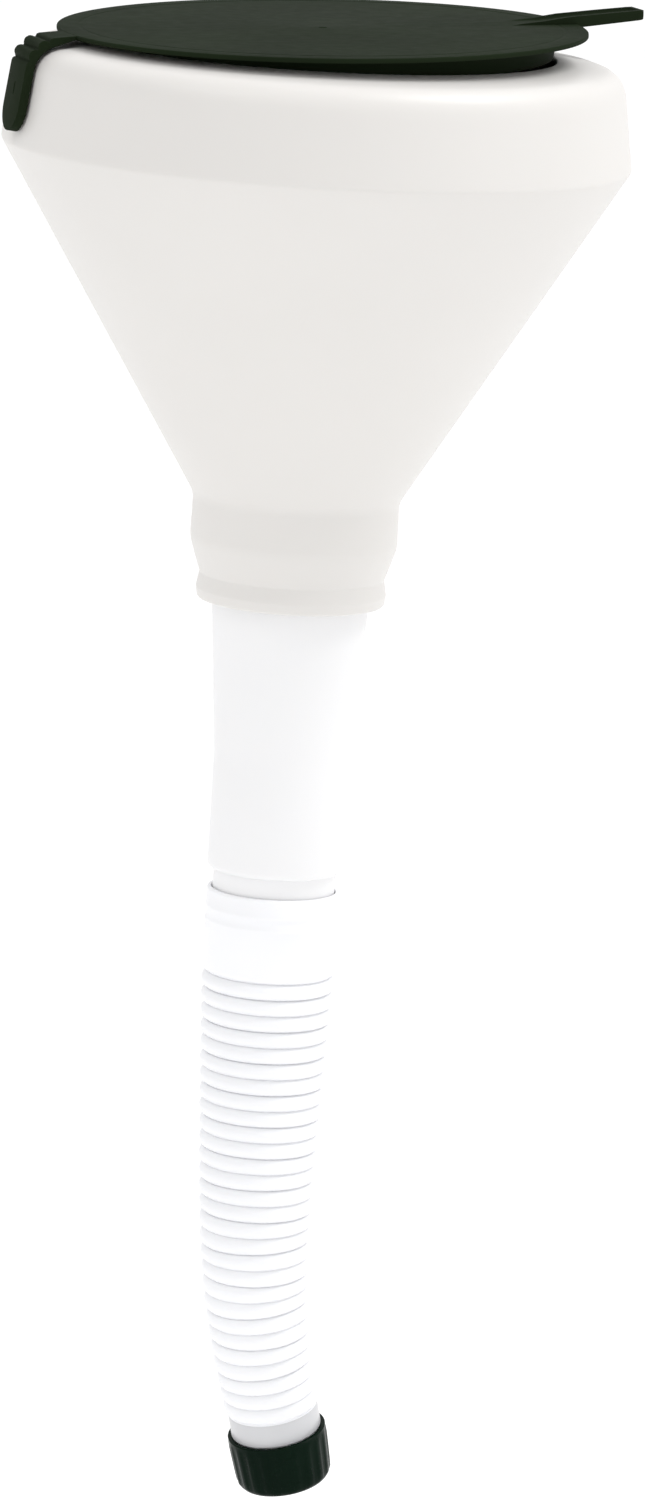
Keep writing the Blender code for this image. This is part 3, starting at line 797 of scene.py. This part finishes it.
def cap_corners():
    """The cap's section: up the inside from the floor, over the rim, and down the outside."""
    return [
        (0.0, CAP_FLOOR, 0.0),
        (14.4, CAP_FLOOR, 0.0),
        (14.7, CAP_FLOOR + 0.3, 0.0),
        (14.7, -12.0, 0.0),
        (15.05, -11.5, 0.0),
        (15.2, -0.2, 0.0),
        (15.4, 0.0, 0.0),
        (16.55, 0.0, 0.0),
        (16.8, -0.25, 0.0),
        (16.75, -1.3, 0.0),
        (16.7, -2.0, 0.0),
        (16.6, -4.0, 0.0),
        (16.35, -9.5, 0.0),
        (16.1, -14.2, 0.0),
        (15.95, CAP_FOOT + 2.1, 0.0),
        (15.7, CAP_FOOT + 1.1, 0.0),
        (15.1, CAP_FOOT + 0.3, 0.0),
        (14.3, CAP_FOOT, 0.0),
        (12.6, CAP_FOOT, 0.0),
        (12.2, CAP_FOOT + 0.2, 0.0),
        (0.0, CAP_FOOT + 0.2, 0.0),
    ]


def raise_grips(cap, grips):
    """Raise rounded ribs on the cap's side, fading out at the rim land and at the foot."""
    for vert in cap.data.vertices:
        radius = vert.co.xy.length / MM
        height = vert.co.z / MM
        if radius < GRIP_INNER_R or not GRIP_FOOT < height < GRIP_TOP:
            continue
        fade = min(1.0, (GRIP_TOP - height) / 0.9, (height - GRIP_FOOT + 0.3) / 1.2)
        wave = math.cos(grips * math.atan2(vert.co.y, vert.co.x))
        ridge = max(0.0, min(1.0, 0.5 + 0.9 * wave))
        growth = 1 + GRIP_HEIGHT * fade * ridge / radius
        vert.co = (vert.co.x * growth, vert.co.y * growth, vert.co.z)
    cap.data.update()


def make_cap():
    grips = sizes().grips
    cap = turn("screw_cap", cap_corners(), steps=grips * 10, softened=False)
    raise_grips(cap, grips)
    carry(cap, cap_matrix())
    dress(cap, cap_plastic(), ["spout_cap"])
    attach(cap, "cap")
    thread = screw_thread("cap_thread", 15.3, 14.05, CAP_THREAD_START, 1.25)
    carry(thread, cap_matrix())
    dress(thread, cap_plastic())
    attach(thread, "cap")
    low = CAP_FLOOR + 0.3
    top = low + 1.2
    liner = turn("cap_liner_disc", [
        (0.0, low, 0.0), (13.9, low, 0.3), (13.9, top, 0.3), (12.6, top, 0.1), (12.4, top - 0.2, 0.1),
        (11.6, top - 0.2, 0.1), (11.4, top, 0.1), (0.0, top, 0.0),
    ], steps=72)
    carry(liner, cap_matrix())
    dress(liner, foam(), ["cap_liner"])
    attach(liner, "cap_seal")


# ---------------------------------------------------------------- lid and strap

LID_OPENING = 2.5
LID_R = 87.5
LID_CENTRE_X = 96.11
LID_UNDERSIDE = 0.74
LID_TOP = LID_UNDERSIDE + 1.6
STRAP_WIDTH = 16.7
STRAP_HALF = 1.5
STRAP_ROOT_RISE = 10.2
LINK = 4.39
LINK_HALF = LINK / 2
TAIL_LENGTH = 23.7
ROOT_LENGTH = 9.6
ROOT_END_HALF = 0.55
TAB_WIDTH = 12.0
CHANNEL_WIDTH = 8.4


def lid_matrix():
    """Frame of the lid: origin on its flex line, tilted to the resting opening."""
    tilt = Matrix.Rotation(math.radians(LID_OPENING), 4, -Y_AXIS)
    return Matrix.Translation(joint_place(STRAP_JOINTS[2])) @ tilt


def strap_points():
    """The strap's chain, downwards: a place in the lid, the three flex lines, and a place in the tail."""
    rise = math.radians(STRAP_ROOT_RISE)
    in_lid = lid_matrix() @ Vector((20 * MM * math.cos(rise), 0, 20 * MM * math.sin(rise)))
    in_tail = strap_tail_matrix() @ Vector((0, 0, -20 * MM))
    return [in_lid] + [joint_place(joint) for joint in reversed(STRAP_JOINTS)] + [in_tail]


def strap_outside(place):
    """Half thickness of the strap on its outer side; place is millimetres above the lowest flex line."""
    groove = sum(math.exp(-(((place - LINK * i) / 0.5) ** 2)) for i in range(3))
    bars = sum(math.exp(-(((place - LINK * (i + 0.5)) / 1.15) ** 4)) for i in range(2))
    return STRAP_HALF + 0.55 * bars - 0.85 * groove


def strap_stretch(name, joint, low, high, end_half=STRAP_HALF, width=STRAP_WIDTH):
    """Strap between two heights about flex line 0, 1 or 2, thinning to end_half towards its top."""
    places = [low - 1 + (high - low + 2) * i / 60 for i in range(61)]

    def share(z):
        return min(1.0, max(0.0, (z - 1.5) / (high - 1.5))) if end_half < STRAP_HALF else 0.0

    outer = [(-strap_outside(z + LINK * joint) * (1 - share(z)) - end_half * share(z), z) for z in places]
    inner = [(STRAP_HALF * (1 - share(z)) + end_half * share(z), z) for z in reversed(places)]
    return slab(name, outer + inner, width)


def plan_tool(name, outline, depth):
    """Cutter with a YZ outline in millimetres, running depth either side of the strap."""
    tool = slab(name, outline, depth)
    return carry(tool, Matrix.Rotation(math.radians(90), 4, Z_AXIS))


def make_strap():
    material = lid_plastic()
    points = strap_points()
    half = STRAP_WIDTH / 2
    tail = strap_stretch("strap_tail_piece", 0, -TAIL_LENGTH, LINK_HALF, width=STRAP_WIDTH + 2)
    foot = [(half * math.cos(math.radians(a)), half * math.sin(math.radians(a)) - TAIL_LENGTH + half)
            for a in range(180, 361, 10)]
    cut(tail, plan_tool("tail_shape", foot + [(half, 10), (-half, 10)], 20), "INTERSECT")
    modify(tail, "BEVEL", width=0.5 * MM, segments=3, limit_method="ANGLE", angle_limit=math.radians(55))
    select_only()
    bpy.ops.mesh.primitive_uv_sphere_add(segments=24, ring_count=12, radius=1)
    dent = bpy.context.object
    spot = Matrix.Translation((-1.75 * MM, 0, -BUTTON_DOWN * MM))
    carry(dent, spot @ Matrix.Diagonal((0.75 * MM, 0.7 * MM, 2.4 * MM, 1)))
    cut(tail, dent)
    button = turn("button", [
        (0.0, 1.0, 0.0), (3.6, 1.0, 0.0), (3.6, 4.6, 0.2), (5.1, 4.7, 0.3), (4.9, 5.2, 0.3),
        (3.9, 5.9, 0.5), (0.0, 6.0, 0.0),
    ], steps=48)
    inward = Matrix.Rotation(math.radians(90), 4, Y_AXIS)
    carry(button, Matrix.Translation((0, 0, -BUTTON_DOWN * MM)) @ inward)
    cut(tail, button, "UNION")
    trim(tail, LINK_HALF, True)
    finish_mesh(bend_over(tail, points, 3, LINK_HALF))
    dress(tail, material, ["strap_tail", "hinge_link_1"])
    blend_over(tail)
    middle = strap_stretch("strap_middle_piece", 1, -LINK_HALF, LINK_HALF)
    modify(middle, "BEVEL", width=0.5 * MM, segments=3, limit_method="ANGLE", angle_limit=math.radians(55))
    trim(middle, LINK_HALF, True)
    trim(middle, -LINK_HALF, False)
    finish_mesh(bend_over(middle, points, 2, LINK_HALF))
    dress(middle, material, ["hinge_link_2"])
    blend_over(middle)


def lid_disc():
    """Disc with a plug skirt, a shallow sink line above the skirt and a gate pip at its centre."""
    top, foot = LID_TOP, LID_UNDERSIDE
    disc = turn("lid_disc", [
        (0.0, top + 0.2, 0.0),
        (1.2, top + 0.2, 0.15),
        (1.5, top, 0.2),
        (79.2, top, 0.4),
        (79.7, top - 0.12, 0.2),
        (80.4, top - 0.12, 0.2),
        (80.9, top, 0.4),
        (LID_R, top, 0.5),
        (LID_R, foot, 0.4),
        (77.1, foot, 0.6),
        (76.0, foot - 7.0, 0.5),
        (75.0, foot - 7.0, 0.4),
        (75.0, foot, 0.8),
        (0.0, foot, 0.0),
    ], steps=192)
    return carry(disc, Matrix.Translation((LID_CENTRE_X * MM, 0, 0)))


def pull_tab():
    """Tapering tab with raised edges and a shallow channel, fading onto the disc."""
    top = LID_TOP
    tab = slab("pull_tab", [(x + LID_CENTRE_X, z) for x, z in [
        (61.0, top - 0.4), (84.0, top - 1.2), (87.0, LID_UNDERSIDE + 0.35), (99.0, LID_UNDERSIDE + 1.45),
        (110.4, LID_UNDERSIDE + 2.5), (111.4, LID_UNDERSIDE + 3.4), (111.5, LID_UNDERSIDE + 4.9),
        (110.8, LID_UNDERSIDE + 5.7), (98.0, LID_UNDERSIDE + 4.9), (84.0, LID_UNDERSIDE + 3.9),
        (76.0, top + 1.2), (68.0, top + 0.45),
    ]], TAB_WIDTH)
    channel = slab("tab_channel", [(x + LID_CENTRE_X, z) for x, z in [
        (64.0, top + 0.3), (76.0, top + 0.5), (86.0, LID_UNDERSIDE + 3.1), (98.0, LID_UNDERSIDE + 4.0),
        (109.4, LID_UNDERSIDE + 4.8), (109.9, LID_UNDERSIDE + 8.0), (64.0, LID_UNDERSIDE + 8.0),
    ]], CHANNEL_WIDTH)
    modify(channel, "BEVEL", width=0.8 * MM, segments=3, limit_method="ANGLE", angle_limit=math.radians(55))
    cut(tab, channel)
    plan = [(40.0, -6.0), (109.0, -6.0), (110.8, -5.4), (111.6, -3.6),
            (111.6, 3.6), (110.8, 5.4), (109.0, 6.0), (40.0, 6.0)]
    tool = slab("tab_plan", plan, 40)
    flat = Matrix.Rotation(math.radians(90), 4, X_AXIS)
    carry(tool, Matrix.Translation((LID_CENTRE_X * MM, 0, 0)) @ flat)
    cut(tab, tool, "INTERSECT")
    limit = math.radians(40)
    return modify(tab, "BEVEL", width=0.3 * MM, segments=3, limit_method="ANGLE", angle_limit=limit)


def make_lid():
    points = strap_points()
    lid = lid_disc()
    cut(lid, pull_tab(), "UNION")
    carry(lid, lid_matrix())
    root = strap_stretch("strap_root", 2, -LINK_HALF, ROOT_LENGTH, ROOT_END_HALF)
    modify(root, "BEVEL", width=0.35 * MM, segments=3, limit_method="ANGLE", angle_limit=math.radians(55))
    trim(root, -LINK_HALF, False)
    trim(root, ROOT_LENGTH, True)
    cut(lid, bend_over(root, points, 1, LINK_HALF), "UNION")
    finish_mesh(lid)
    dress(lid, lid_plastic(), ["lid"])
    blend_over(lid)


# ---------------------------------------------------------------- stage

VIEW_AZIMUTH = -19.5
VIEW_ELEVATION = 10.8
VIEW_ROLL = 3.4
VIEW_DISTANCE = 2.667
FRAME_HEIGHT = 0.5
SENSOR_WIDTH = 36
ORIGIN_RIGHT = -0.01077
ORIGIN_UP = 0.05


def camera_axes():
    """Right, up and back directions of the camera, rolled so that the funnel leans to the right."""
    a, e = math.radians(VIEW_AZIMUTH), math.radians(VIEW_ELEVATION)
    back = Vector((math.sin(a) * math.cos(e), -math.cos(a) * math.cos(e), math.sin(e)))
    level = Vector((math.cos(a), math.sin(a), 0))
    roll = Matrix.Rotation(math.radians(VIEW_ROLL), 3, back)
    return roll @ level, roll @ back.cross(level), back


def make_camera():
    right, up, back = camera_axes()
    target = -right * ORIGIN_RIGHT - up * ORIGIN_UP
    select_only()
    bpy.ops.object.camera_add(location=target + back * VIEW_DISTANCE)
    camera = bpy.context.object
    camera.name = "view_camera"
    camera.rotation_mode = "QUATERNION"
    camera.rotation_quaternion = Matrix((right, up, back)).transposed().to_quaternion()
    camera.data.sensor_width = SENSOR_WIDTH
    camera.data.lens = SENSOR_WIDTH * VIEW_DISTANCE / FRAME_HEIGHT
    camera.data.clip_end = 20
    bpy.context.scene.camera = camera


def add_light(name, place, size, power):
    select_only()
    bpy.ops.object.light_add(type="AREA", location=place)
    light = bpy.context.object
    light.name = name
    light.data.shape = "RECTANGLE"
    light.data.size, light.data.size_y = size
    light.data.energy = power
    direction = -Vector(place)
    light.rotation_mode = "QUATERNION"
    light.rotation_quaternion = direction.to_track_quat("-Z", "Y")


def make_floor():
    """Wide pale floor, lit from within just enough to stay plain."""
    select_only()
    bpy.ops.mesh.primitive_plane_add(size=60, location=(0, 0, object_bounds()[0].z - 0.06))
    floor = bpy.context.object
    floor.name = "studio_floor"
    paper = plastic("studio_paper", (0.85, 0.85, 0.85), (0.84, 0.84, 0.84), (0.9, 0.95), 3.0, 50.0, 0.0,
                    Emission_Color=(1, 1, 1, 1), Emission_Strength=0.26)
    floor.data.materials.append(paper)
    floor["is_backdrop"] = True


def make_stage():
    make_camera()
    make_floor()
    world = bpy.context.scene.world or bpy.data.worlds.new("studio_world")
    bpy.context.scene.world = world
    world.use_nodes = True
    background = world.node_tree.nodes["Background"]
    background.inputs["Color"].default_value = (1, 1, 1, 1)
    background.inputs["Strength"].default_value = 0.9
    add_light("upper_right_softbox", (1.0, -0.45, 1.9), (0.9, 0.9), 20)
    add_light("left_fill_softbox", (-1.3, -0.6, 1.5), (0.8, 0.8), 3)
    bpy.context.scene.view_settings.view_transform = "Standard"


# ---------------------------------------------------------------- add-on


class FUNNEL_OT_stage(bpy.types.Operator):
    """Add the camera, the light and the pale floor"""

    bl_idname = "funnel.stage"
    bl_label = "Stage"

    def execute(self, context):
        make_stage()
        return {"FINISHED"}


class FUNNEL_OT_bowl(bpy.types.Operator):
    """Make the bowl with its neck and bead"""

    bl_idname = "funnel.bowl"
    bl_label = "Bowl"

    def execute(self, context):
        make_bowl()
        return {"FINISHED"}


class FUNNEL_OT_strainer(bpy.types.Operator):
    """Make the strainer's basket and gauze"""

    bl_idname = "funnel.strainer"
    bl_label = "Strainer"

    def execute(self, context):
        make_strainer()
        return {"FINISHED"}


class FUNNEL_OT_spout(bpy.types.Operator):
    """Make the tapering spout and its nipple"""

    bl_idname = "funnel.spout"
    bl_label = "Rigid spout"

    def execute(self, context):
        make_spout()
        return {"FINISHED"}


class FUNNEL_OT_hose(bpy.types.Operator):
    """Make the bending corrugated spout"""

    bl_idname = "funnel.hose"
    bl_label = "Corrugated spout"

    def execute(self, context):
        make_hose()
        return {"FINISHED"}


class FUNNEL_OT_cap(bpy.types.Operator):
    """Make the cap, its thread and its liner"""

    bl_idname = "funnel.cap"
    bl_label = "Screw cap"

    def execute(self, context):
        make_cap()
        return {"FINISHED"}


class FUNNEL_OT_lid(bpy.types.Operator):
    """Make the lid with its skirt and pull tab"""

    bl_idname = "funnel.lid"
    bl_label = "Lid"

    def execute(self, context):
        make_lid()
        return {"FINISHED"}


class FUNNEL_OT_strap(bpy.types.Operator):
    """Make the strap that holds the lid"""

    bl_idname = "funnel.strap"
    bl_label = "Strap"

    def execute(self, context):
        make_strap()
        return {"FINISHED"}


OPERATORS = [FUNNEL_OT_stage, FUNNEL_OT_bowl, FUNNEL_OT_strainer, FUNNEL_OT_spout,
             FUNNEL_OT_hose, FUNNEL_OT_cap, FUNNEL_OT_lid, FUNNEL_OT_strap]


class FUNNEL_PT_panel(bpy.types.Panel):
    """Lists buttons for the funnel's pieces in the sidebar"""

    bl_idname = "FUNNEL_PT_panel"
    bl_label = "Lidded Funnel"
    bl_space_type = "VIEW_3D"
    bl_region_type = "UI"
    bl_category = "Funnel"

    def draw(self, context):
        for kind in OPERATORS:
            self.layout.operator(kind.bl_idname)


CLASSES = [FunnelSizes, FunnelColours, *OPERATORS, FUNNEL_PT_panel]


def register():
    for kind in CLASSES:
        bpy.utils.register_class(kind)
    bpy.types.Scene.funnel_sizes = bpy.props.PointerProperty(type=FunnelSizes)
    bpy.types.Scene.funnel_colours = bpy.props.PointerProperty(type=FunnelColours)


def unregister():
    del bpy.types.Scene.funnel_colours
    del bpy.types.Scene.funnel_sizes
    for kind in reversed(CLASSES):
        bpy.utils.unregister_class(kind)


def main():
    register()
    for kind in OPERATORS:
        getattr(bpy.ops.funnel, kind.bl_idname.split(".")[1])()


if __name__ == "__main__":
    main()
